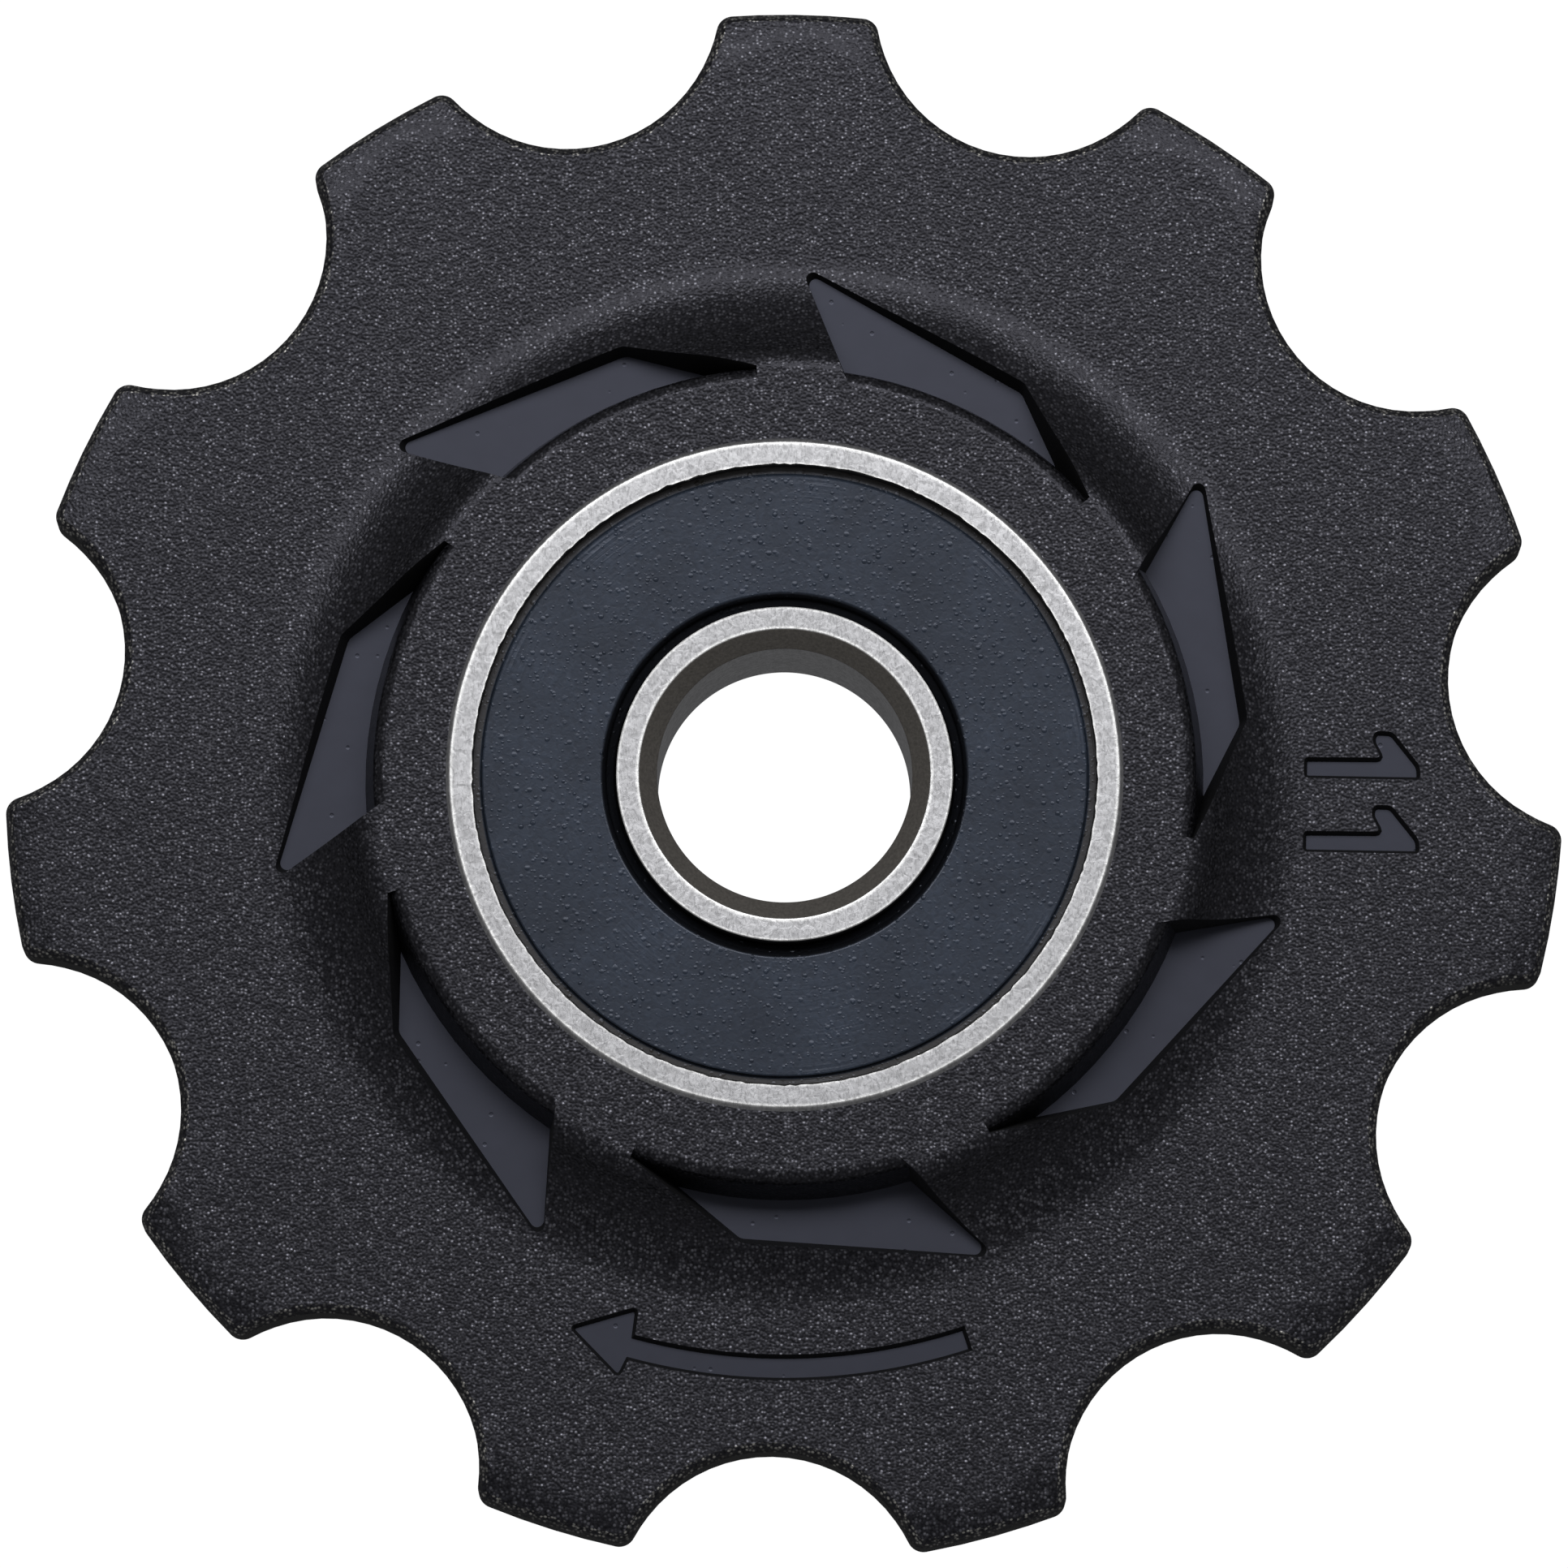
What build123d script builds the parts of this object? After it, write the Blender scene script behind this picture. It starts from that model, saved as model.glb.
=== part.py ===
from build123d import *
import math
import os

# Derailleur jockey wheel: a moulded toothed wheel on a sealed deep-groove ball bearing.
# Millimetres. The axle runs along Z, the origin is the middle of the bore,
# and the middle of one tooth points along +Y.

# Bearing, overall
BORE_DIAMETER = 7.0
BEARING_DIAMETER = 19.0
BEARING_WIDTH = 6.0
BALL_DIAMETER = 3.5
BALL_COUNT = 7

# Bearing rings
RACE_CLEARANCE = 0.02
GROOVE_CONFORMITY = 0.52
SHOULDER_HEIGHT = 0.62
BORE_CHAMFER = 0.5
BORE_CHAMFER_DEPTH = 0.4
RIM_CHAMFER = 0.3
INNER_FACE_WIDTH = 1.13
OUTER_FACE_WIDTH = 0.95

# Seals, the heights of the bead and the lip as shares of the seal's thickness
SEAL_RECESS = 0.25
SEAL_CAGE_GAP = 0.12
SEAL_EDGE_GAP = 0.28
SEAL_EDGE_BEVEL = 0.12
SEAL_LIP_CLEARANCE = 0.04
SEAL_LIP_SHARE = 0.4
SEAL_SHOULDER_GAP = 0.1
SEAL_RIM_GAP = 0.23
SEAL_BEAD_WIDTH = 0.3
SEAL_BEAD_SHARE = 0.6

# Ball cage, the rivets as shares of the flat between two arches
CAGE_SHEET = 0.3
CAGE_BAND_WIDTH = 1.5
CAGE_BALL_GAP = 0.08
RIVET_SHARE = 0.36
RIVET_HEAD_SHARE = 0.65
RIVET_HEAD_HEIGHT = 0.2

# Chain that the teeth carry
CHAIN_PITCH = 12.7
ROLLER_DIAMETER = 7.75
ROLLER_CLEARANCE = 0.18

# Toothed rim
TOOTH_COUNT = 11
TOOTH_HEIGHT = 2.99
SEAT_RADIUS = 4.24
TOOTH_CORNER_RADIUS = 0.46
RIM_THICKNESS = 2.3
TIP_BEVEL_WIDTH = 0.95
TIP_BEVEL_DROP = 0.4
RIM_EDGE_BREAK = 0.25

# Hub around the bearing
HUB_SETBACK = 0.1
HUB_WALL = 1.75
HUB_EDGE_RADIUS = 0.8
HUB_SLOPE_RADIUS = 3.3
HUB_FOOT = 0.3
HUB_DRAFT = 8.0
HUB_POCKET_EDGE_RADIUS = 0.4

# Pockets swept around the hub, reaches counted from the edge of the hub's face
POCKET_COUNT = 7
POCKET_DEPTH = 0.3
POCKET_TIP_DRAFT = 14.0
POCKET_TAIL_DRAFT = 10.0
POCKET_HEEL_DRAFT = 4.0
POCKET_LEAD = 0.95
POCKET_TIP_REACH = 3.05
POCKET_BEND_REACH = 1.41
POCKET_BEND_ANGLE = 29.25
POCKET_HEEL_SINK = 0.65
POCKET_HEEL_ANGLE = 9.35
POCKET_TAIL_SINK = 0.26
POCKET_TAIL_ANGLE = 45.59
POCKET_TIP_RADIUS = 0.2
POCKET_BEND_RADIUS = 0.35

# Sizes worked out from those above
bore_radius = BORE_DIAMETER / 2
bearing_radius = BEARING_DIAMETER / 2
bearing_half = BEARING_WIDTH / 2
ball_radius = BALL_DIAMETER / 2
ball_circle_radius = (bore_radius + bearing_radius) / 2
groove_radius = BALL_DIAMETER * GROOVE_CONFORMITY
inner_race_radius = ball_circle_radius - ball_radius - RACE_CLEARANCE
outer_race_radius = ball_circle_radius + ball_radius + RACE_CLEARANCE
inner_face_radius = bore_radius + INNER_FACE_WIDTH
outer_face_radius = bearing_radius - OUTER_FACE_WIDTH

cage_pocket_radius = ball_radius + CAGE_BALL_GAP
cage_half_height = cage_pocket_radius + CAGE_SHEET
ball_spacing = 2 * ball_circle_radius * math.sin(math.pi / BALL_COUNT)
rivet_room = ball_spacing - 2 * cage_half_height
rivet_radius = RIVET_SHARE * rivet_room / 2
rivet_head_radius = RIVET_HEAD_SHARE * rivet_room / 2

seal_back = cage_half_height + SEAL_CAGE_GAP
seal_front = bearing_half - SEAL_RECESS
seal_edge_radius = inner_face_radius + SEAL_EDGE_GAP
seal_lip_radius = inner_face_radius + SEAL_LIP_CLEARANCE
seal_lip_front = seal_back + SEAL_LIP_SHARE * (seal_front - seal_back)
seal_rim_radius = outer_face_radius - SEAL_RIM_GAP
seal_bead_radius = outer_face_radius + SEAL_BEAD_WIDTH
seal_bead_front = seal_back + SEAL_BEAD_SHARE * (seal_front - seal_back)

pitch_radius = CHAIN_PITCH / 2 / math.sin(math.pi / TOOTH_COUNT)
root_radius = pitch_radius - ROLLER_DIAMETER / 2 - ROLLER_CLEARANCE
tip_radius = root_radius + TOOTH_HEIGHT
seat_centre_radius = root_radius + SEAT_RADIUS
rim_half = RIM_THICKNESS / 2

hub_half = bearing_half - HUB_SETBACK
hub_face_radius = bearing_radius + HUB_WALL
hub_foot_radius = hub_face_radius + HUB_FOOT
pocket_floor = rim_half - POCKET_DEPTH


def polar(radius, angle):
    """Point in the plane of the wheel, its angle counted clockwise from +Y."""
    turn = math.radians(angle)
    return (radius * math.sin(turn), radius * math.cos(turn))


def turned(half_section):
    """Solid of revolution about Z from the upper half of a section that is the same below."""
    section = half_section + mirror(half_section, about=Plane.XZ)
    return revolve(Plane.XZ * section, axis=Axis.Z)


def inner_ring():
    """Ring on the axle: ground faces, a step under each seal lip and the ball groove."""
    step_height = seal_back - SEAL_SHOULDER_GAP
    half = make_face(
        Polyline(
            (bore_radius, 0),
            (bore_radius, bearing_half - BORE_CHAMFER_DEPTH),
            (bore_radius + BORE_CHAMFER, bearing_half),
            (inner_face_radius, bearing_half),
            (inner_face_radius, step_height),
            (inner_race_radius + SHOULDER_HEIGHT, step_height),
            (inner_race_radius + SHOULDER_HEIGHT, 0),
            close=True,
        )
    )
    groove = Pos(inner_race_radius + groove_radius, 0) * Circle(groove_radius)
    return turned(half - groove)


def outer_ring():
    """Ring in the wheel: ball groove, and a groove at each side that holds a seal's rim."""
    half = make_face(
        Polyline(
            (outer_race_radius - SHOULDER_HEIGHT, 0),
            (outer_race_radius - SHOULDER_HEIGHT, seal_back),
            (seal_bead_radius, seal_back),
            (seal_bead_radius, seal_bead_front),
            (outer_face_radius, seal_bead_front),
            (outer_face_radius, bearing_half),
            (bearing_radius - RIM_CHAMFER, bearing_half),
            (bearing_radius, bearing_half - RIM_CHAMFER),
            (bearing_radius, 0),
            close=True,
        )
    )
    groove = Pos(outer_race_radius - groove_radius, 0) * Circle(groove_radius)
    return turned(half - groove)


def seal():
    """Rubber seal of the upper side: a rim bead in the outer ring, and a thin lip just clear of the inner."""
    section = make_face(
        Polyline(
            (seal_lip_radius, seal_back),
            (seal_bead_radius, seal_back),
            (seal_bead_radius, seal_bead_front),
            (seal_rim_radius, seal_bead_front),
            (seal_rim_radius, seal_front),
            (seal_edge_radius + SEAL_EDGE_BEVEL, seal_front),
            (seal_edge_radius, seal_front - SEAL_EDGE_BEVEL),
            (seal_edge_radius, seal_lip_front),
            (seal_lip_radius, (seal_back + seal_lip_front) / 2),
            close=True,
        )
    )
    return revolve(Plane.XZ * section, axis=Axis.Z)


def ball_places():
    """Places of the balls on their circle, the first on +Y."""
    return PolarLocations(ball_circle_radius, BALL_COUNT, start_angle=90)


def rivet_places():
    """Places of the rivets, half way between the balls."""
    return PolarLocations(ball_circle_radius, BALL_COUNT, start_angle=90 + 180 / BALL_COUNT)


def balls():
    """The balls, one solid each."""
    return [place * Sphere(ball_radius) for place in ball_places()]


def cage_half():
    """Upper half of the pressed cage: a flat ribbon that arches over each ball."""
    above = Align.CENTER, Align.CENTER, Align.MIN
    band = Cylinder(ball_circle_radius + CAGE_BAND_WIDTH / 2, cage_half_height, align=above)
    band -= Cylinder(ball_circle_radius - CAGE_BAND_WIDTH / 2, cage_half_height, align=above)
    arch = Cylinder(cage_half_height, 2 * CAGE_BAND_WIDTH, rotation=(0, 90, 0))
    hollow = Cylinder(cage_pocket_radius, 2 * CAGE_BAND_WIDTH, rotation=(0, 90, 0))
    ribbon = Cylinder(bearing_radius, CAGE_SHEET, align=above)
    ribbon += [place * arch for place in ball_places()]
    ribbon -= [place * hollow for place in ball_places()]
    ribbon -= [place * Cylinder(rivet_radius, BEARING_WIDTH) for place in rivet_places()]
    return ribbon & band


def cage_rivets():
    """Rivets that hold the two cage halves together, headed on both sides."""
    shank = Cylinder(rivet_radius, 2 * CAGE_SHEET)
    head = Cylinder(rivet_head_radius, RIVET_HEAD_HEIGHT)
    head_height = CAGE_SHEET + RIVET_HEAD_HEIGHT / 2
    rivet = shank + Pos(0, 0, head_height) * head + Pos(0, 0, -head_height) * head
    return Compound([place * rivet for place in rivet_places()])


def seat_and_lip():
    """Start of a wheel section: half the bearing seat and the lip that laps the ring's chamfer."""
    lip = bearing_radius - (hub_half - (bearing_half - RIM_CHAMFER))
    return [(bearing_radius, 0), (bearing_radius, bearing_half - RIM_CHAMFER), (lip, hub_half)]


def web_blank():
    """Turned form of the wheel: hub face, slope down to the flat rim, and the bevelled tip."""
    drop = rim_half + HUB_SLOPE_RADIUS - (hub_half - HUB_EDGE_RADIUS)
    radii = HUB_EDGE_RADIUS + HUB_SLOPE_RADIUS
    run = math.sqrt(radii**2 - drop**2)
    slope_end = (hub_face_radius + run, rim_half)
    share = HUB_EDGE_RADIUS / radii
    bend = (hub_face_radius + run * share, hub_half - HUB_EDGE_RADIUS + drop * share)
    inner_side = Polyline(*seat_and_lip(), (hub_face_radius, hub_half))
    hub_edge = TangentArc((hub_face_radius, hub_half), bend, tangent=(1, 0))
    slope = TangentArc(slope_end, bend, tangent=(-1, 0))
    outer_side = Polyline(
        slope_end,
        (tip_radius - TIP_BEVEL_WIDTH, rim_half),
        (tip_radius, rim_half - TIP_BEVEL_DROP),
        (tip_radius, 0),
        (bearing_radius, 0),
    )
    return turned(make_face([inner_side, hub_edge, slope, outer_side]))


def tooth_outline():
    """Outline of the toothed rim: a disc less one round roller seat between each two teeth."""
    seats = PolarLocations(seat_centre_radius, TOOTH_COUNT, start_angle=90 + 180 / TOOTH_COUNT)
    outline = Circle(tip_radius) - [place * Circle(SEAT_RADIUS) for place in seats]
    return fillet(outline.vertices(), TOOTH_CORNER_RADIUS)


def pocket():
    """One pocket of the upper side as a solid to cut away: a flat-floored shard, each wall with its own draft."""
    tip = polar(hub_face_radius + POCKET_TIP_REACH, POCKET_LEAD)
    bend = polar(hub_face_radius + POCKET_BEND_REACH, POCKET_LEAD + POCKET_BEND_ANGLE)
    tail = polar(hub_face_radius - POCKET_TAIL_SINK, POCKET_LEAD + POCKET_TAIL_ANGLE)
    heel = polar(hub_face_radius - POCKET_HEEL_SINK, POCKET_LEAD + POCKET_HEEL_ANGLE)
    floor = Pos(0, 0, pocket_floor) * make_face(Polyline(tip, bend, tail, (0, 0), heel, close=True))
    shard = extrude(floor, bearing_half - pocket_floor)
    middle_height = (pocket_floor + bearing_half) / 2
    walls = [
        (tip, bend, POCKET_TIP_DRAFT),
        (bend, tail, POCKET_TAIL_DRAFT),
        (heel, tip, POCKET_HEEL_DRAFT),
    ]
    for first, last, angle in walls:
        middle = ((first[0] + last[0]) / 2, (first[1] + last[1]) / 2, middle_height)
        wall = shard.faces().sort_by_distance(middle)[0]
        shard = draft(wall, Plane.XY.offset(pocket_floor), -angle)
    for corner, radius in ((tip, POCKET_TIP_RADIUS), (bend, POCKET_BEND_RADIUS)):
        edge = shard.edges().sort_by_distance((*corner, middle_height))[0]
        shard = fillet(edge, radius)
    return shard


def hub():
    """Round hub that the pockets leave standing, with drafted sides and rounded edges."""
    lean = math.tan(math.radians(HUB_DRAFT))
    top_radius = hub_foot_radius - (hub_half - pocket_floor) * lean
    middle_radius = hub_foot_radius + pocket_floor * lean
    corner = (top_radius, hub_half)
    half = make_face(Polyline(*seat_and_lip(), corner, (middle_radius, 0), close=True))
    half = fillet(half.vertices().sort_by_distance(corner)[0], HUB_POCKET_EDGE_RADIUS)
    return turned(half)


def rim():
    """Toothed form with its edges broken all along the outline, before the pockets are cut."""
    outline = tooth_outline()
    body = web_blank() & extrude(outline, bearing_half, both=True)
    border = outline.wire()
    edges = []
    for edge in body.edges():
        middle = edge.position_at(0.5)
        off_border = border.distance_to(Vector(middle.X, middle.Y, 0))
        if off_border < RIM_EDGE_BREAK / 10 and abs(middle.Z) > RIM_EDGE_BREAK:
            edges.append(edge)
    return chamfer(edges, RIM_EDGE_BREAK)


def toothed_wheel():
    """The moulded wheel, the same on both sides."""
    upper = [place * pocket() for place in PolarLocations(0, POCKET_COUNT)]
    lower = [mirror(cut, about=Plane.XY) for cut in upper]
    return rim() - upper - lower + hub()


os.makedirs("parts", exist_ok=True)
pieces = {
    "toothed_wheel": toothed_wheel(),
    "outer_ring": outer_ring(),
    "inner_ring": inner_ring(),
    "front_seal": seal(),
    "rear_seal": mirror(seal(), about=Plane.XY),
    "front_cage_half": cage_half(),
    "rear_cage_half": mirror(cage_half(), about=Plane.XY),
    "cage_rivets": cage_rivets(),
}
for number, ball in enumerate(balls(), start=1):
    pieces[f"ball_{number}"] = ball
for name, piece in pieces.items():
    export_step(piece, f"parts/{name}.step")
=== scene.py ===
import math
import bmesh
import bpy
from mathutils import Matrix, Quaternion, Vector, noise


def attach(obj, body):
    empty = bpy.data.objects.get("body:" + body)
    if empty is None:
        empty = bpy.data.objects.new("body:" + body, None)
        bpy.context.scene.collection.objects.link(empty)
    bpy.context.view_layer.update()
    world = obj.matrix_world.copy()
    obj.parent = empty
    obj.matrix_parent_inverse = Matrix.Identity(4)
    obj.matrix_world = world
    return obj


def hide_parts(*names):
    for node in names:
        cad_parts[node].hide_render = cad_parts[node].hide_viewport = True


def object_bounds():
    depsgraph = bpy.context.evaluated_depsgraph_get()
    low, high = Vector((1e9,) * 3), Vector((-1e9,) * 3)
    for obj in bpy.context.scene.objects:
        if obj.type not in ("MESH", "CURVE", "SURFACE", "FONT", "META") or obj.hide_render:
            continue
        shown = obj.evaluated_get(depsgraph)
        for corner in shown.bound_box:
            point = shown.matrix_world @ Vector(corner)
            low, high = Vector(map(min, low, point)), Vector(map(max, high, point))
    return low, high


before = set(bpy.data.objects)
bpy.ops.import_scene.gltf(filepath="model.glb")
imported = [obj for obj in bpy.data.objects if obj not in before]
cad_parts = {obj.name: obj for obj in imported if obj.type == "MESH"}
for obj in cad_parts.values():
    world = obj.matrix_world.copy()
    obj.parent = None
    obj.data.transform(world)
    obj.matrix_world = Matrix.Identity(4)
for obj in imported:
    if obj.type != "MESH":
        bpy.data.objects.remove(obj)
cad_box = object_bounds()

MM = 0.001

# Camera: nearly square above the wheel, leaned a little towards -Y, with a long lens
CAMERA_ELEVATION = 83.2
CAMERA_ROLL = 1.0
CAMERA_DISTANCE = 450 * MM
CAMERA_NEAREST = 10 * MM
CAMERA_FURTHEST = 5.0
FRAME_WIDTH = 43.3 * MM
FRAME_RIGHT = -0.0105 * MM
FRAME_UP = 0.074 * MM
SENSOR_WIDTH = 36.0

# Studio, sizes in metres and each brightness counted against the white of the picture
FLOOR_SIZE = 2.0
FLOOR_CAST = 0.12
FLOOR_SEEN_MORE = 0.92
SOFTBOX_PLACE = (0, 0.325, 0.731)
SOFTBOX_WIDTH = 0.85
SOFTBOX_HEIGHT = 0.26
SOFTBOX_BRIGHTNESS = 3.5
ROOM_BRIGHTNESS = 0.17

# Wheel, as the CAD has it
WHEEL_MERGE = 0.001 * MM
RIM_FACE = 1.15 * MM
RIM_INSIDE = 17.9 * MM
POCKET_FLOOR = 0.85 * MM
POCKET_FLOOR_SPREAD = 0.03 * MM
POCKET_OUTSIDE = 15.6 * MM

# Bevel of the tooth tips, raised by a share of the distance past its start, so gentler than the CAD's
TIP_BEVEL_START = 20.49 * MM
TIP_BEVEL_LOWEST = 0.3 * MM
TIP_BEVEL_RAISE = 0.2

# Angles in degrees past which two faces no longer share their light
WHEEL_CREASE = 32
RING_CREASE = 20

# How level a face lies, by the height of its normal: 1 is flat, 0 upright
FLAT_LEVEL = 0.99
MARK_FLOOR_LEVEL = 0.97
EDGE_ROLL_LEVEL = 0.85
POCKET_WALL_LEVEL = 0.5
EDGE_WALL_LEVEL = 0.2

# How far a wall beside a pocket faces away from the axle where it is the hub's own side
HUB_SIDE_OUTWARD = 0.5

# Marks sunk into the front of the rim, angles clockwise from +Y in degrees
MARK_DEPTH = 0.28 * MM
MARK_WALL = 0.1 * MM
MARK_CORNER = 0.12 * MM
MARK_CORNER_STEPS = 3
ARROW_INSIDE = 15.82 * MM
ARROW_OUTSIDE = 16.54 * MM
ARROW_TAIL = 160.8
ARROW_NECK = 194.0
ARROW_BARB = 194.4
ARROW_TIP = 200.6
ARROW_BARB_INSIDE = 15.02 * MM
ARROW_BARB_OUTSIDE = 17.12 * MM
ARROW_CORNER = 0.22 * MM
ARROW_STEPS = 24
DIGIT_STEP = -2.05 * MM
DIGIT_OUTLINE = [
    (14.3, 0.94),
    (14.3, 0.36),
    (17.52, 0.36),
    (17.5, 0.75),
    (16.73, 1.69),
    (16.24, 1.7),
    (16.16, 1.43),
    (16.42, 0.96),
]

# Bearing sections as the CAD has them, radius and height in millimetres
BORE_RADIUS = 3.5
BEARING_RADIUS = 9.5
GROOVE_RADIUS = 1.82
GROOVE_HALF_WIDTH = 1.36
GROOVE_STEPS = 10
OUTER_GROOVE_CENTRE = 6.45
INNER_GROOVE_CENTRE = 6.55
OUTER_HALF = [(7.65, 2.25), (8.85, 2.25), (8.85, 2.55), (8.55, 2.55), (8.55, 3.0), (9.2, 3.0), (9.5, 2.7)]
INNER_HALF = [(5.35, 2.15), (4.63, 2.15), (4.63, 3.0), (4.0, 3.0), (3.5, 2.6)]
SEAL_SECTION = [
    (4.67, 2.25),
    (8.85, 2.25),
    (8.85, 2.55),
    (8.32, 2.55),
    (8.32, 2.75),
    (5.03, 2.75),
    (4.91, 2.63),
    (4.91, 2.45),
    (4.67, 2.35),
]

# Bearing edges
RING_SEGMENTS = 360
RING_EDGE = 0.04 * MM
RING_EDGE_STEPS = 2
RING_MERGE = 0.0005 * MM
RING_FACE_LOWEST = 2.9 * MM
SEAL_EDGE = 0.05 * MM
BURR_RADIUS = 8.57 * MM
BURR_BAND = 0.035 * MM
BURR_SPACING = 0.17 * MM
BURR_HEIGHT = 0.035 * MM
BURR_FINER = 2.3
BURR_FINER_SHARE = 0.5

# Where the bearing's finishes lie, radii in millimetres
# Bright bands at the ring faces' edges: partly burnished steel, partly a painted highlight
RING_FACE_EDGE_BURNISH_AND_HIGHLIGHT = [4.04, 4.6, 8.58, 9.16]
RING_FACE_EDGE_BURNISH_AND_HIGHLIGHT_WIDTH = 0.07
OUTER_GAP_SHADE = (8.5, 8.86)
# Outer groove wall and inner shoulder get painted shade, black, in the gaps beside the seals; the bore gets
# real scale
BORE_SCALE = (3.52, 3.99)
SHOULDER_GAP_SHADE = (4.62, 5.4)

# Nylon's surface
PEBBLE_SIZE = 0.075 * MM
GLASS_SPACING = 0.1 * MM
GRAIN_HEIGHT = 0.013 * MM
FLOW_SIZE = 0.7 * MM
PIT_SPACING = 0.6 * MM
PIT_DEPTH = 0.02 * MM
DRAW_LINE_WIDTH = 0.07 * MM
DRAW_LINE_LENGTH = 0.8 * MM
DRAW_LINE_DEPTH = 0.02 * MM

# Steel's surface: scratches as slant in degrees and length, drawn wider than real ones so that they show
MOTTLE_SIZE = 0.2 * MM
SCRATCH_WIDTH = 0.05 * MM
SCRATCHES = [(24, 0.14 * MM), (65, 0.2 * MM), (128, 0.16 * MM)]
GRINDING_DEPTH = 0.008 * MM
CRUST_SIZE = 0.08 * MM
CRUST_HEIGHT = 0.02 * MM
# Radii over which the scale turns black, as painted shade in the gaps beside the seals
SCALE_GAP_SHADE = (4.2 * MM, 4.4 * MM)
CLOUD_SIZE = 0.8 * MM
HAZE_SIZE = 0.5 * MM

# Rubber's surface: nubs as spacing, radius as a share of it, and share of the full height
NUBS = [(0.36 * MM, 0.22, 0.7), (0.25 * MM, 0.24, 0.55), (0.16 * MM, 0.26, 0.3)]
NUB_HEIGHT = 0.032 * MM
SKIN_SIZE = 0.16 * MM
SKIN_SHARE = 0.12
TURNED_LINE_WIDTH = 0.09 * MM
PATCH_SIZE = 2.5 * MM
SEAL_BORDER = (7.5 * MM, 8.1 * MM)
SEAL_DUST = (8.36 * MM, 8.4 * MM)
# Radii inside which the seal's lip is darkened: painted shade of the gap beside the inner ring
SEAL_GAP_SHADE = (5.0 * MM, 5.08 * MM)

# Sockets of a Mix node that mixes colours
FACTOR = 0
FIRST = 6
SECOND = 7
MIXED = 2


def colour(code):
    """Linear colour from an sRGB hex value."""
    channels = [int(code[i : i + 2], 16) / 255 for i in (1, 3, 5)]
    return [c / 12.92 if c <= 0.04045 else ((c + 0.055) / 1.055) ** 2.4 for c in channels] + [1.0]


def feed(tree, node, inputs):
    """Gives a node's sockets their values, or links them to other nodes' outputs."""
    for socket, value in inputs.items():
        if isinstance(value, bpy.types.NodeSocket):
            tree.links.new(value, node.inputs[socket])
        else:
            node.inputs[socket].default_value = value


def add_node(tree, kind, inputs=None, **settings):
    """Adds a shader node with its settings; each input is a value or another node's output."""
    made = tree.nodes.new("ShaderNode" + kind)
    for name, value in settings.items():
        setattr(made, name, value)
    feed(tree, made, inputs or {})
    return made


def new_material(name):
    """Empty node material and its shader, joined to the output."""
    made = bpy.data.materials.new(name)
    made.use_nodes = True
    tree = made.node_tree
    return made, tree, tree.nodes["Principled BSDF"]


def axle_distance(tree, place):
    """Distance of a point from the axle."""
    flat = add_node(tree, "VectorMath", {0: place, 1: (1, 1, 0)}, operation="MULTIPLY")
    return add_node(tree, "VectorMath", {0: flat.outputs[0]}, operation="LENGTH").outputs["Value"]


def grained_nylon(name, painted_shade_glint_share, glint_colour):
    """Glass-filled black nylon from a textured mould: fine dark pebbles, the tallest glinting with glass.

    Steep slopes keep only a share of the glint, so they come out darker: painted shade.
    """
    made, tree, shader = new_material(name)
    surface = add_node(tree, "TexCoord")
    place = surface.outputs["Object"]
    facing = add_node(tree, "SeparateXYZ", {"Vector": surface.outputs["Normal"]})
    level = add_node(tree, "Math", {0: facing.outputs["Z"]}, operation="ABSOLUTE")
    # Painted shade: the glint fades as the normal tilts away from upright, darkening steep slopes
    painted_slope_shade = add_node(
        tree,
        "MapRange",
        {"Value": level.outputs[0], "From Min": 0.8, "From Max": 0.98, "To Min": painted_shade_glint_share},
    )
    pebbles = add_node(tree, "TexNoise", {"Vector": place, "Scale": 1 / PEBBLE_SIZE, "Detail": 0.0})
    tops = add_node(tree, "TexVoronoi", {"Vector": place, "Scale": 1 / GLASS_SPACING, "Randomness": 1.0})
    round_top = add_node(
        tree,
        "MapRange",
        {"Value": tops.outputs["Distance"], "From Max": 0.62, "To Min": 1.0, "To Max": 0.0},
        interpolation_type="SMOOTHSTEP",
    )
    chance = add_node(tree, "SeparateColor", {"Color": tops.outputs["Color"]})
    few = add_node(tree, "Math", {0: chance.outputs[0], 1: 1.4}, operation="POWER")
    bright = add_node(tree, "Math", {0: few.outputs[0], 1: painted_slope_shade.outputs["Result"]}, operation="MULTIPLY")
    glint = add_node(
        tree, "Math", {0: round_top.outputs["Result"], 1: bright.outputs[0]}, operation="MULTIPLY"
    )
    height = add_node(
        tree, "Math", {0: glint.outputs[0], 1: 0.5, 2: pebbles.outputs["Fac"]}, operation="MULTIPLY_ADD"
    )
    bump = add_node(tree, "Bump", {"Height": height.outputs[0], "Distance": GRAIN_HEIGHT})
    shade = add_node(tree, "MapRange", {"Value": pebbles.outputs["Fac"], "From Min": 0.25, "From Max": 0.75})
    body = add_node(
        tree,
        "Mix",
        {FACTOR: shade.outputs["Result"], FIRST: colour("#040405"), SECOND: colour("#212125")},
        data_type="RGBA",
    )
    tint = add_node(
        tree,
        "Mix",
        {FACTOR: glint.outputs[0], FIRST: body.outputs[MIXED], SECOND: colour(glint_colour)},
        data_type="RGBA",
    )
    finish = {
        "Base Color": tint.outputs[MIXED],
        "Metallic": glint.outputs[0],
        "Normal": bump.outputs["Normal"],
        "Specular Tint": colour("#eeeeff"),
        "Specular IOR Level": 0.3,
        "Roughness": 0.33,
        "IOR": 1.53,
    }
    feed(tree, shader, finish)
    return made


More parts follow.
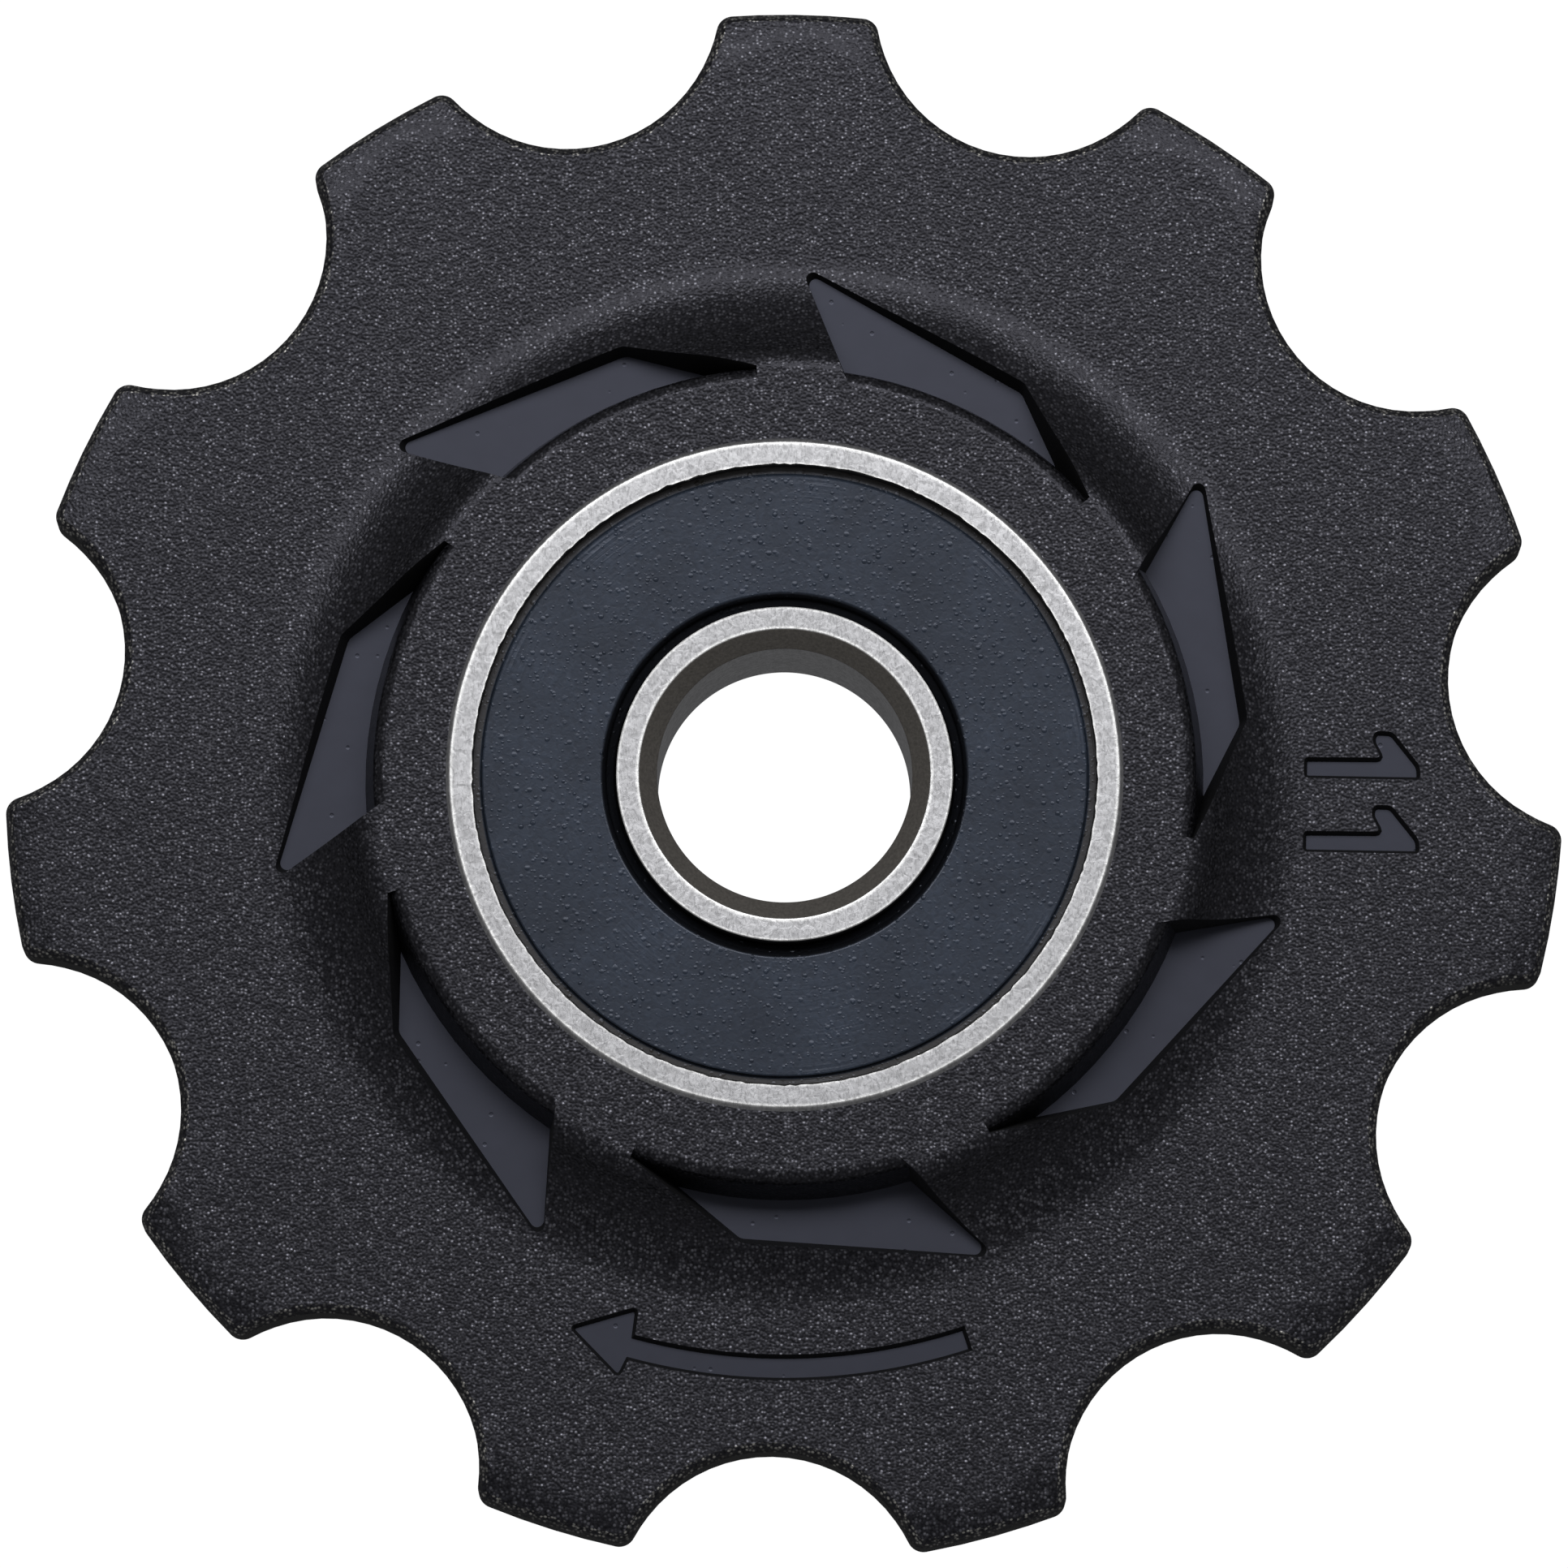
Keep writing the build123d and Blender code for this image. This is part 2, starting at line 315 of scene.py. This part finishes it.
def smooth_nylon():
    """The same nylon where the mould was smooth: satin, bluish, with faint flow mottling and a few pits."""
    made, tree, shader = new_material("glass_filled_nylon_satin")
    place = add_node(tree, "TexCoord").outputs["Object"]
    flow = add_node(tree, "TexNoise", {"Vector": place, "Scale": 1 / FLOW_SIZE, "Detail": 3.0})
    pits = add_node(tree, "TexVoronoi", {"Vector": place, "Scale": 1 / PIT_SPACING, "Randomness": 1.0})
    pit = add_node(
        tree,
        "MapRange",
        {"Value": pits.outputs["Distance"], "From Min": 0.05, "From Max": 0.12},
        interpolation_type="SMOOTHSTEP",
    )
    height = add_node(
        tree, "Math", {0: flow.outputs["Fac"], 1: 0.3, 2: pit.outputs["Result"]}, operation="MULTIPLY_ADD"
    )
    bump = add_node(tree, "Bump", {"Height": height.outputs[0], "Strength": 0.3, "Distance": PIT_DEPTH})
    tint = add_node(
        tree,
        "Mix",
        {FACTOR: flow.outputs["Fac"], FIRST: colour("#16171c"), SECOND: colour("#23252d")},
        data_type="RGBA",
    )
    finish = {
        "Base Color": tint.outputs[MIXED],
        "Normal": bump.outputs["Normal"],
        "Specular Tint": colour("#e0e4ff"),
        "Specular IOR Level": 0.65,
        "Roughness": 0.36,
        "IOR": 1.53,
    }
    feed(tree, shader, finish)
    return made


def drawn_nylon():
    """The same nylon on walls that slid along the mould: matt black, with fine lines the way they slid."""
    made, tree, shader = new_material("glass_filled_nylon_drawn")
    place = add_node(tree, "TexCoord").outputs["Object"]
    stretch = (1 / DRAW_LINE_WIDTH, 1 / DRAW_LINE_WIDTH, 1 / DRAW_LINE_LENGTH)
    drawn = add_node(tree, "Mapping", {"Vector": place, "Scale": stretch})
    lines = add_node(tree, "TexNoise", {"Vector": drawn.outputs["Vector"], "Scale": 1.0, "Detail": 2.0})
    bump = add_node(
        tree, "Bump", {"Height": lines.outputs["Fac"], "Strength": 0.4, "Distance": DRAW_LINE_DEPTH}
    )
    tint = add_node(
        tree,
        "Mix",
        {FACTOR: lines.outputs["Fac"], FIRST: colour("#101012"), SECOND: colour("#1e1e21")},
        data_type="RGBA",
    )
    finish = {
        "Base Color": tint.outputs[MIXED],
        "Normal": bump.outputs["Normal"],
        "Specular IOR Level": 0.25,
        "Roughness": 0.7,
        "IOR": 1.53,
    }
    feed(tree, shader, finish)
    return made


def ground_steel():
    """Hardened bearing steel, ground and tumbled: pale, mottled by slanted scratches, with bright edges that
    are partly burnished and partly a painted highlight.
    """
    made, tree, shader = new_material("bearing_steel_ground")
    place = add_node(tree, "TexCoord").outputs["Object"]
    mottle = add_node(
        tree, "TexNoise", {"Vector": place, "Scale": 1 / MOTTLE_SIZE, "Detail": 2.0, "Distortion": 1.0}
    )
    height = mottle.outputs["Fac"]
    for turn, length in SCRATCHES:
        slant = {
            "Vector": place,
            "Rotation": (0, 0, math.radians(turn)),
            "Scale": (1 / SCRATCH_WIDTH, 1 / length, 1 / length),
        }
        slanted = add_node(tree, "Mapping", slant).outputs["Vector"]
        streaks = add_node(tree, "TexNoise", {"Vector": slanted, "Scale": 1.0, "Detail": 0.0})
        scratch = add_node(
            tree,
            "MapRange",
            {"Value": streaks.outputs["Fac"], "From Min": 0.6, "From Max": 0.8, "To Max": -0.2},
        )
        scratched = add_node(tree, "Math", {0: height, 1: scratch.outputs["Result"]}, operation="ADD")
        height = scratched.outputs[0]
    bump = add_node(tree, "Bump", {"Height": height, "Strength": 0.6, "Distance": GRINDING_DEPTH})
    reach = axle_distance(tree, place)
    span = add_node(
        tree, "MapRange", {"Value": reach, "From Min": BORE_RADIUS * MM, "From Max": BEARING_RADIUS * MM}
    )
    face = colour("#c3c3c6")
    # White bands at the face edges: partly burnish, partly painted highlight
    edge = colour("#ffffff")
    burnish_and_highlight_bands = add_node(tree, "ValToRGB", {"Fac": span.outputs["Result"]})
    stops = burnish_and_highlight_bands.color_ramp.elements
    stops[0].color = face
    stops[1].color = face
    for radius in RING_FACE_EDGE_BURNISH_AND_HIGHLIGHT:
        for shift, tone in ((-RING_FACE_EDGE_BURNISH_AND_HIGHLIGHT_WIDTH, face), (0.0, edge), (RING_FACE_EDGE_BURNISH_AND_HIGHLIGHT_WIDTH, face)):
            stop = stops.new((radius + shift - BORE_RADIUS) / (BEARING_RADIUS - BORE_RADIUS))
            stop.color = tone
    worn = add_node(
        tree,
        "MapRange",
        {"Value": height, "From Min": 0.25, "From Max": 0.65, "To Min": 0.7, "To Max": 1.1},
    )
    tint = add_node(
        tree, "VectorMath", {0: burnish_and_highlight_bands.outputs["Color"], 1: worn.outputs["Result"]}, operation="MULTIPLY"
    )
    finish = {
        "Base Color": tint.outputs[0],
        "Normal": bump.outputs["Normal"],
        "Metallic": 1.0,
        "Roughness": 0.42,
    }
    feed(tree, shader, finish)
    return made


def scale_and_gap_shade_steel():
    """The same steel under the scale of hardening, grey-brown at the bore; black farther out, which is
    painted shade in the gaps beside the seals.
    """
    made, tree, shader = new_material("bearing_steel_scaled_and_gap_shade")
    place = add_node(tree, "TexCoord").outputs["Object"]
    crust = add_node(tree, "TexNoise", {"Vector": place, "Scale": 1 / CRUST_SIZE, "Detail": 3.0})
    bump = add_node(tree, "Bump", {"Height": crust.outputs["Fac"], "Strength": 0.6, "Distance": CRUST_HEIGHT})
    brown = add_node(
        tree,
        "Mix",
        {FACTOR: crust.outputs["Fac"], FIRST: colour("#3d3a37"), SECOND: colour("#6c6863")},
        data_type="RGBA",
    )
    reach = axle_distance(tree, place)
    # Painted shade: black past these radii, in the gaps beside the seals
    start, end = SCALE_GAP_SHADE
    gap_shade = add_node(tree, "MapRange", {"Value": reach, "From Min": start, "From Max": end})
    tint = add_node(
        tree,
        "Mix",
        {FACTOR: gap_shade.outputs["Result"], FIRST: brown.outputs[MIXED], SECOND: colour("#0c0b0a")},
        data_type="RGBA",
    )
    finish = {
        "Base Color": tint.outputs[MIXED],
        "Normal": bump.outputs["Normal"],
        "Roughness": 0.5,
    }
    feed(tree, shader, finish)
    return made


def seal_rubber():
    """Moulded nitrile rubber: slate, with small domed nubs, a leathery skin and turned lines by its border.

    Dust lies in its groove, and its lip is darkened with painted shade of the gap beside the inner ring.
    """
    made, tree, shader = new_material("nitrile_rubber_moulded")
    place = add_node(tree, "TexCoord").outputs["Object"]
    reach = axle_distance(tree, place)
    heights = []
    for spacing, size, tall in NUBS:
        cells = add_node(tree, "TexVoronoi", {"Vector": place, "Scale": 1 / spacing, "Randomness": 1.0})
        chance = add_node(tree, "SeparateColor", {"Color": cells.outputs["Color"]})
        out = add_node(tree, "MapRange", {"Value": cells.outputs["Distance"], "From Max": size})
        bowl = add_node(
            tree, "Math", {0: out.outputs["Result"], 1: out.outputs["Result"]}, operation="MULTIPLY"
        )
        dome = add_node(tree, "Math", {0: bowl.outputs[0], 1: -tall, 2: tall}, operation="MULTIPLY_ADD")
        nubs = add_node(tree, "Math", {0: dome.outputs[0], 1: chance.outputs[0]}, operation="MULTIPLY")
        heights.append(nubs.outputs[0])
    skin = add_node(
        tree, "TexNoise", {"Vector": place, "Scale": 1 / SKIN_SIZE, "Detail": 3.0, "Distortion": 0.8}
    )
    leathery = add_node(tree, "Math", {0: skin.outputs["Fac"], 1: SKIN_SHARE}, operation="MULTIPLY")
    heights.append(leathery.outputs[0])
    rings = add_node(
        tree, "TexNoise", {"W": reach, "Scale": 1 / TURNED_LINE_WIDTH, "Detail": 1.0}, noise_dimensions="1D"
    )
    patches = add_node(tree, "TexNoise", {"Vector": place, "Scale": 1 / PATCH_SIZE, "Detail": 1.0})
    shown = add_node(
        tree,
        "MapRange",
        {"Value": patches.outputs["Fac"], "From Min": 0.5, "From Max": 0.75, "To Max": 0.35},
    )
    start, end = SEAL_BORDER
    border = add_node(tree, "MapRange", {"Value": reach, "From Min": start, "From Max": end, "To Min": 0.25})
    worn = add_node(
        tree, "Math", {0: shown.outputs["Result"], 1: border.outputs["Result"]}, operation="MULTIPLY"
    )
    lines = add_node(tree, "Math", {0: rings.outputs["Fac"], 1: worn.outputs[0]}, operation="MULTIPLY")
    heights.append(lines.outputs[0])
    height = heights[0]
    for more in heights[1:]:
        height = add_node(tree, "Math", {0: height, 1: more}, operation="ADD").outputs[0]
    bump = add_node(tree, "Bump", {"Height": height, "Distance": NUB_HEIGHT})
    cloudy = add_node(tree, "Math", {0: skin.outputs["Fac"], 1: patches.outputs["Fac"]}, operation="MULTIPLY")
    slate = add_node(
        tree,
        "Mix",
        {FACTOR: cloudy.outputs[0], FIRST: colour("#171c24"), SECOND: colour("#4d5a6e")},
        data_type="RGBA",
    )
    start, end = SEAL_DUST
    dusty = add_node(tree, "MapRange", {"Value": reach, "From Min": start, "From Max": end, "To Max": 0.8})
    dusted = add_node(
        tree,
        "Mix",
        {FACTOR: dusty.outputs["Result"], FIRST: slate.outputs[MIXED], SECOND: colour("#4a453d")},
        data_type="RGBA",
    )
    # Painted shade: the lip near the axle is darkened, in the gap beside the inner ring
    start, end = SEAL_GAP_SHADE
    gap_shade = add_node(
        tree, "MapRange", {"Value": reach, "From Min": start, "From Max": end, "To Min": 0.85, "To Max": 0.0}
    )
    tint = add_node(
        tree,
        "Mix",
        {FACTOR: gap_shade.outputs["Result"], FIRST: dusted.outputs[MIXED], SECOND: colour("#100e0d")},
        data_type="RGBA",
    )
    finish = {
        "Base Color": tint.outputs[MIXED],
        "Normal": bump.outputs["Normal"],
        "Specular Tint": colour("#e6ecff"),
        "Roughness": 0.29,
        "IOR": 1.52,
    }
    feed(tree, shader, finish)
    return made


def pressed_steel():
    """Cold-rolled steel sheet of the ball cage: dull grey, with a cloudy rolled skin."""
    made, tree, shader = new_material("cold_rolled_steel_pressed")
    place = add_node(tree, "TexCoord").outputs["Object"]
    clouds = add_node(tree, "TexNoise", {"Vector": place, "Scale": 1 / CLOUD_SIZE, "Detail": 4.0})
    tint = add_node(
        tree,
        "Mix",
        {FACTOR: clouds.outputs["Fac"], FIRST: colour("#8b8a86"), SECOND: colour("#b5b4b0")},
        data_type="RGBA",
    )
    dull = add_node(tree, "MapRange", {"Value": clouds.outputs["Fac"], "To Min": 0.35, "To Max": 0.5})
    finish = {
        "Base Color": tint.outputs[MIXED],
        "Roughness": dull.outputs["Result"],
        "Metallic": 1.0,
    }
    feed(tree, shader, finish)
    return made


def polished_steel():
    """Lapped chrome-steel balls: mirror bright under a faint grease haze."""
    made, tree, shader = new_material("chrome_steel_lapped")
    place = add_node(tree, "TexCoord").outputs["Object"]
    haze = add_node(tree, "TexNoise", {"Vector": place, "Scale": 1 / HAZE_SIZE, "Detail": 2.0})
    film = add_node(tree, "MapRange", {"Value": haze.outputs["Fac"], "To Min": 0.05, "To Max": 0.2})
    finish = {
        "Base Color": colour("#dcdde0"),
        "Roughness": film.outputs["Result"],
        "Metallic": 1.0,
    }
    feed(tree, shader, finish)
    return made


def white_card():
    """Studio card under the part: white in the picture, and dim to the part, so that its walls stay dark."""
    made, tree, shader = new_material("white_card")
    seen = add_node(tree, "LightPath").outputs["Is Camera Ray"]
    glow = add_node(tree, "Math", {0: seen, 1: FLOOR_SEEN_MORE, 2: FLOOR_CAST}, operation="MULTIPLY_ADD")
    finish = {
        "Base Color": colour("#3c3c3c"),
        "Emission Color": colour("#ffffff"),
        "Emission Strength": glow.outputs[0],
        "Roughness": 0.9,
    }
    feed(tree, shader, finish)
    return made


def polar(radius, angle):
    """Point on the face of the rim, its angle counted clockwise from +Y in degrees."""
    turn = math.radians(angle)
    return Vector((radius * math.sin(turn), radius * math.cos(turn), RIM_FACE))


def round_off(shape, corners, offset, steps):
    """Rounds corners of a flat outline."""
    bmesh.ops.bevel(
        shape, geom=corners, offset=offset, affect="VERTICES", segments=steps, profile=0.5, material=-1
    )


def sink(mark):
    """Makes a flat mark a solid to cut with: walls that lean in to the floor, and a block above the rim."""
    bmesh.ops.recalc_face_normals(mark, faces=mark.faces[:])
    down = sum((face.normal for face in mark.faces), Vector()).z < 0
    if not down:
        bmesh.ops.reverse_faces(mark, faces=mark.faces[:])
    floor = mark.faces[:]
    border = [edge for edge in mark.edges if edge.is_boundary]
    above = bmesh.ops.extrude_edge_only(mark, edges=border)["geom"]
    lifted = [item for item in above if isinstance(item, bmesh.types.BMVert)]
    bmesh.ops.translate(mark, verts=lifted, vec=(0, 0, MARK_DEPTH))
    bmesh.ops.inset_region(mark, faces=floor, thickness=MARK_WALL, depth=MARK_DEPTH, use_even_offset=True)
    bmesh.ops.edgeloop_fill(mark, edges=[edge for edge in mark.edges if edge.is_boundary])
    bmesh.ops.recalc_face_normals(mark, faces=mark.faces[:])
    return mark


def arrow_mark():
    """Cutter for the arrow that shows which way the wheel turns, its shaft bent round the axle."""
    mark = bmesh.new()
    inside = mark.verts.new(polar(ARROW_INSIDE, ARROW_TAIL))
    outside = mark.verts.new(polar(ARROW_OUTSIDE, ARROW_TAIL))
    tail = mark.edges.new((inside, outside))
    spun = bmesh.ops.spin(
        mark,
        geom=[inside, outside, tail],
        axis=(0, 0, 1),
        cent=(0, 0, 0),
        angle=math.radians(ARROW_TAIL - ARROW_NECK),
        steps=ARROW_STEPS,
        use_duplicate=False,
    )
    neck = [item for item in spun["geom_last"] if isinstance(item, bmesh.types.BMVert)]
    neck.sort(key=lambda vert: vert.co.length)
    head = [
        mark.verts.new(polar(ARROW_BARB_OUTSIDE, ARROW_BARB)),
        mark.verts.new(polar((ARROW_INSIDE + ARROW_OUTSIDE) / 2, ARROW_TIP)),
        mark.verts.new(polar(ARROW_BARB_INSIDE, ARROW_BARB)),
    ]
    mark.faces.new([neck[0], neck[1], *head])
    round_off(mark, head, ARROW_CORNER, MARK_CORNER_STEPS)
    return sink(mark)


def digit_mark(shift):
    """Cutter for one figure 1 of the tooth count, which stands with its top to the rim."""
    mark = bmesh.new()
    corners = [mark.verts.new((x * MM, y * MM + shift, RIM_FACE)) for x, y in DIGIT_OUTLINE]
    mark.faces.new(corners)
    round_off(mark, corners, MARK_CORNER, MARK_CORNER_STEPS)
    return sink(mark)


def as_object(shape, name, materials):
    """Object made of a finished shape, in the collection of the scene."""
    mesh = bpy.data.meshes.new(name)
    shape.to_mesh(mesh)
    shape.free()
    for material in materials:
        mesh.materials.append(material)
    made = bpy.data.objects.new(name, mesh)
    bpy.context.scene.collection.objects.link(made)
    return made


def ease(piece, angle, soft=()):
    """Smooth light over faces that meet at less than the angle.

    Soft faces roll from one neighbour's light to the other's.
    """
    mesh = piece.data
    limit = math.cos(math.radians(angle))
    soft = set(soft)
    around = [[] for _ in mesh.vertices]
    for face in mesh.polygons:
        face.use_smooth = True
        for vertex in face.vertices:
            around[vertex].append(face)
    light = []
    for face in mesh.polygons:
        for vertex in face.vertices:
            total = Vector()
            for other in around[vertex]:
                near = face.index in soft or other.normal.dot(face.normal) > limit
                if near and other.index not in soft:
                    total += other.area * other.normal
            light.append(total.normalized() if total.length else face.normal.copy())
    mesh.normals_split_custom_set(light)


def cut_marks(wheel, marks, finish):
    """Cuts the marks out of the wheel, which gets the finish on the faces that they leave."""
    cutters = []
    for number, mark in enumerate(marks):
        cutter = as_object(mark, f"mark_{number}", [finish])
        cut = wheel.modifiers.new(f"cut_{number}", "BOOLEAN")
        cut.operation = "DIFFERENCE"
        cut.solver = "EXACT"
        cut.material_mode = "TRANSFER"
        cut.object = cutter
        cutters.append(cutter)
    graph = bpy.context.evaluated_depsgraph_get()
    wheel.data = bpy.data.meshes.new_from_object(wheel.evaluated_get(graph))
    wheel.modifiers.clear()
    for cutter in cutters:
        bpy.data.objects.remove(cutter)
    wheel.data.attributes.remove(wheel.data.attributes["custom_normal"])


def moulded_wheel(grained, satin, drawn, scuffed):
    """The moulded wheel with its marks, and each face in the finish its part of the mould had."""
    shape = bmesh.new()
    shape.from_mesh(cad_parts["toothed_wheel"].data)
    bmesh.ops.remove_doubles(shape, verts=shape.verts[:], dist=WHEEL_MERGE)
    wheel = as_object(shape, "moulded_wheel", [grained, satin, drawn, scuffed])
    cut_marks(wheel, [arrow_mark(), digit_mark(0), digit_mark(DIGIT_STEP)], satin)
    for vertex in wheel.data.vertices:
        beyond = Vector(vertex.co[:2]).length - TIP_BEVEL_START
        if beyond > 0 and abs(vertex.co.z) > TIP_BEVEL_LOWEST:
            vertex.co.z += math.copysign(TIP_BEVEL_RAISE * beyond, vertex.co.z)
    slots = list(wheel.data.materials)
    rolled = []
    for face in wheel.data.polygons:
        reach = Vector(face.center[:2]).length
        level = abs(face.normal.z)
        outward = Vector(face.normal[:2]).dot(face.center[:2]) / reach
        at_floor = abs(abs(face.center.z) - POCKET_FLOOR) < POCKET_FLOOR_SPREAD
        in_pocket = reach < POCKET_OUTSIDE and outward < HUB_SIDE_OUTWARD
        in_mark = face.material_index == slots.index(satin)
        at_edge = reach > RIM_INSIDE
        pocket_wall = in_pocket and level < POCKET_WALL_LEVEL
        mark_wall = in_mark and level < MARK_FLOOR_LEVEL
        edge_wall = at_edge and level < EDGE_WALL_LEVEL
        if at_floor and level > FLAT_LEVEL:
            face.material_index = slots.index(satin)
        elif pocket_wall or mark_wall or edge_wall:
            face.material_index = slots.index(drawn)
        elif at_edge and EDGE_WALL_LEVEL < level < EDGE_ROLL_LEVEL:
            face.material_index = slots.index(scuffed)
            rolled.append(face.index)
    ease(wheel, WHEEL_CREASE, rolled)
    return wheel


def turned(name, section, edge, materials):
    """Ring turned about the axle from its section, with the section's corners rounded."""
    shape = bmesh.new()
    corners = [shape.verts.new((radius * MM, 0, height * MM)) for radius, height in section]
    shape.faces.new(corners)
    round_off(shape, corners, edge, RING_EDGE_STEPS)
    bmesh.ops.delete(shape, geom=shape.faces[:], context="FACES_ONLY")
    bmesh.ops.spin(
        shape,
        geom=shape.verts[:] + shape.edges[:],
        axis=(0, 0, 1),
        cent=(0, 0, 0),
        angle=math.tau,
        steps=RING_SEGMENTS,
        use_merge=True,
        use_duplicate=False,
    )
    bmesh.ops.remove_doubles(shape, verts=shape.verts[:], dist=RING_MERGE)
    bmesh.ops.recalc_face_normals(shape, faces=shape.faces[:])
    ring = as_object(shape, name, materials)
    ease(ring, RING_CREASE)
    return ring


def groove(centre, side):
    """Points of a ball groove's section, from below to above the middle."""
    start = math.asin(GROOVE_HALF_WIDTH / GROOVE_RADIUS)
    turns = [start * (2 * i / GROOVE_STEPS - 1) for i in range(GROOVE_STEPS + 1)]
    return [(centre + side * GROOVE_RADIUS * math.cos(a), GROOVE_RADIUS * math.sin(a)) for a in turns]


def both_halves(half):
    """A ring's section beside its groove, from the half of it above the middle."""
    return half + [(radius, -height) for radius, height in reversed(half)]


def burr(ring):
    """Lets a ring's front and rear inner edges wander in and out, as the grinding wheel left them."""
    for vertex in ring.data.vertices:
        across = Vector((vertex.co.x, vertex.co.y, 0))
        if abs(across.length - BURR_RADIUS) < BURR_BAND and abs(vertex.co.z) > RING_FACE_LOWEST:
            spot = across / BURR_SPACING
            wander = noise.noise(spot) + BURR_FINER_SHARE * noise.noise(spot * BURR_FINER)
            vertex.co += across.normalized() * wander * BURR_HEIGHT
    ease(ring, RING_CREASE)


def leave_scale_or_gap_shade(ring, low, high):
    """Gives a ring's faces between two radii its second finish, all but the ground flats that bear."""
    for face in ring.data.polygons:
        flat = abs(face.normal.z) > FLAT_LEVEL and abs(face.center.z) > RING_FACE_LOWEST
        if low < Vector(face.center[:2]).length / MM < high and not flat:
            face.material_index = 1


# Finishes
# Plain grain keeps 0.3 of its glint on steep slopes as painted shade; scuffed edges keep all of it
nylon = grained_nylon("glass_filled_nylon_grained", 0.3, "#86868f")
nylon_scuffed = grained_nylon("glass_filled_nylon_scuffed", 1.0, "#d2d0ca")
nylon_satin = smooth_nylon()
nylon_drawn = drawn_nylon()
steel = ground_steel()
scale_and_gap_shade = scale_and_gap_shade_steel()
rubber = seal_rubber()
cage_steel = pressed_steel()
ball_steel = polished_steel()

# Wheel
wheel = moulded_wheel(nylon, nylon_satin, nylon_drawn, nylon_scuffed)
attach(wheel, "wheel")
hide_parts("toothed_wheel")

# Bearing rings
outer_section = groove(OUTER_GROOVE_CENTRE, 1) + both_halves(OUTER_HALF)
outer = turned("bearing_outer_ring", outer_section, RING_EDGE, [steel, scale_and_gap_shade])
burr(outer)
# Painted shade, black, on the wall of the seal's groove
leave_scale_or_gap_shade(outer, *OUTER_GAP_SHADE)
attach(outer, "wheel")
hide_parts("outer_ring")

inner_section = groove(INNER_GROOVE_CENTRE, -1) + both_halves(INNER_HALF)
inner = turned("bearing_inner_ring", inner_section, RING_EDGE, [steel, scale_and_gap_shade])
leave_scale_or_gap_shade(inner, *BORE_SCALE)
# Painted shade, black, on the shoulder beside the seal's lip
leave_scale_or_gap_shade(inner, *SHOULDER_GAP_SHADE)
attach(inner, "inner_ring")
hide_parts("inner_ring")

# Seals
for side, name in ((1, "front_seal"), (-1, "rear_seal")):
    section = [(radius, side * height) for radius, height in SEAL_SECTION]
    seal = turned(f"{name}_rubber", section, SEAL_EDGE, [rubber])
    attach(seal, "wheel")
    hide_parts(name)

# Balls and their cage keep their CAD shapes
for name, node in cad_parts.items():
    if name.startswith(("ball_", "front_cage", "rear_cage", "cage_")):
        node.data.materials.clear()
        node.data.materials.append(ball_steel if name.startswith("ball_") else cage_steel)

# Camera
lean = math.radians(CAMERA_ELEVATION)
back = Vector((0, -math.cos(lean), math.sin(lean)))
square = (-back).to_track_quat("-Z", "Y") @ Quaternion((0, 0, 1), math.radians(CAMERA_ROLL))
lens = bpy.data.cameras.new("camera")
lens.sensor_width = SENSOR_WIDTH
lens.lens = SENSOR_WIDTH * CAMERA_DISTANCE / FRAME_WIDTH
lens.clip_start = CAMERA_NEAREST
lens.clip_end = CAMERA_FURTHEST
camera = bpy.data.objects.new("camera", lens)
camera.rotation_mode = "QUATERNION"
camera.rotation_quaternion = square
camera.location = back * CAMERA_DISTANCE + square @ Vector((FRAME_RIGHT, FRAME_UP, 0))
bpy.context.scene.collection.objects.link(camera)
bpy.context.scene.camera = camera

# Floor: the card that the part lies on
shape = bmesh.new()
bmesh.ops.create_grid(shape, x_segments=1, y_segments=1, size=FLOOR_SIZE)
bmesh.ops.translate(shape, verts=shape.verts[:], vec=(0, 0, cad_box[0].z))
floor = as_object(shape, "floor", [white_card()])

# Light: a long softbox across the picture, set towards its top, in a dim white room
box = bpy.data.lights.new("softbox", "AREA")
box.shape = "RECTANGLE"
box.size = SOFTBOX_WIDTH
box.size_y = SOFTBOX_HEIGHT
# A lamp's power is four times its brightness on each unit of its area
box.energy = 4 * SOFTBOX_BRIGHTNESS * SOFTBOX_WIDTH * SOFTBOX_HEIGHT
softbox = bpy.data.objects.new("softbox", box)
softbox.location = SOFTBOX_PLACE
softbox.rotation_mode = "QUATERNION"
softbox.rotation_quaternion = Vector(SOFTBOX_PLACE).to_track_quat("Z", "Y")
bpy.context.scene.collection.objects.link(softbox)

room = bpy.data.worlds.new("studio")
room.use_nodes = True
walls = room.node_tree.nodes["Background"]
feed(room.node_tree, walls, {"Color": colour("#ffffff"), "Strength": ROOM_BRIGHTNESS})
bpy.context.scene.world = room
bpy.context.scene.view_settings.view_transform = "Standard"
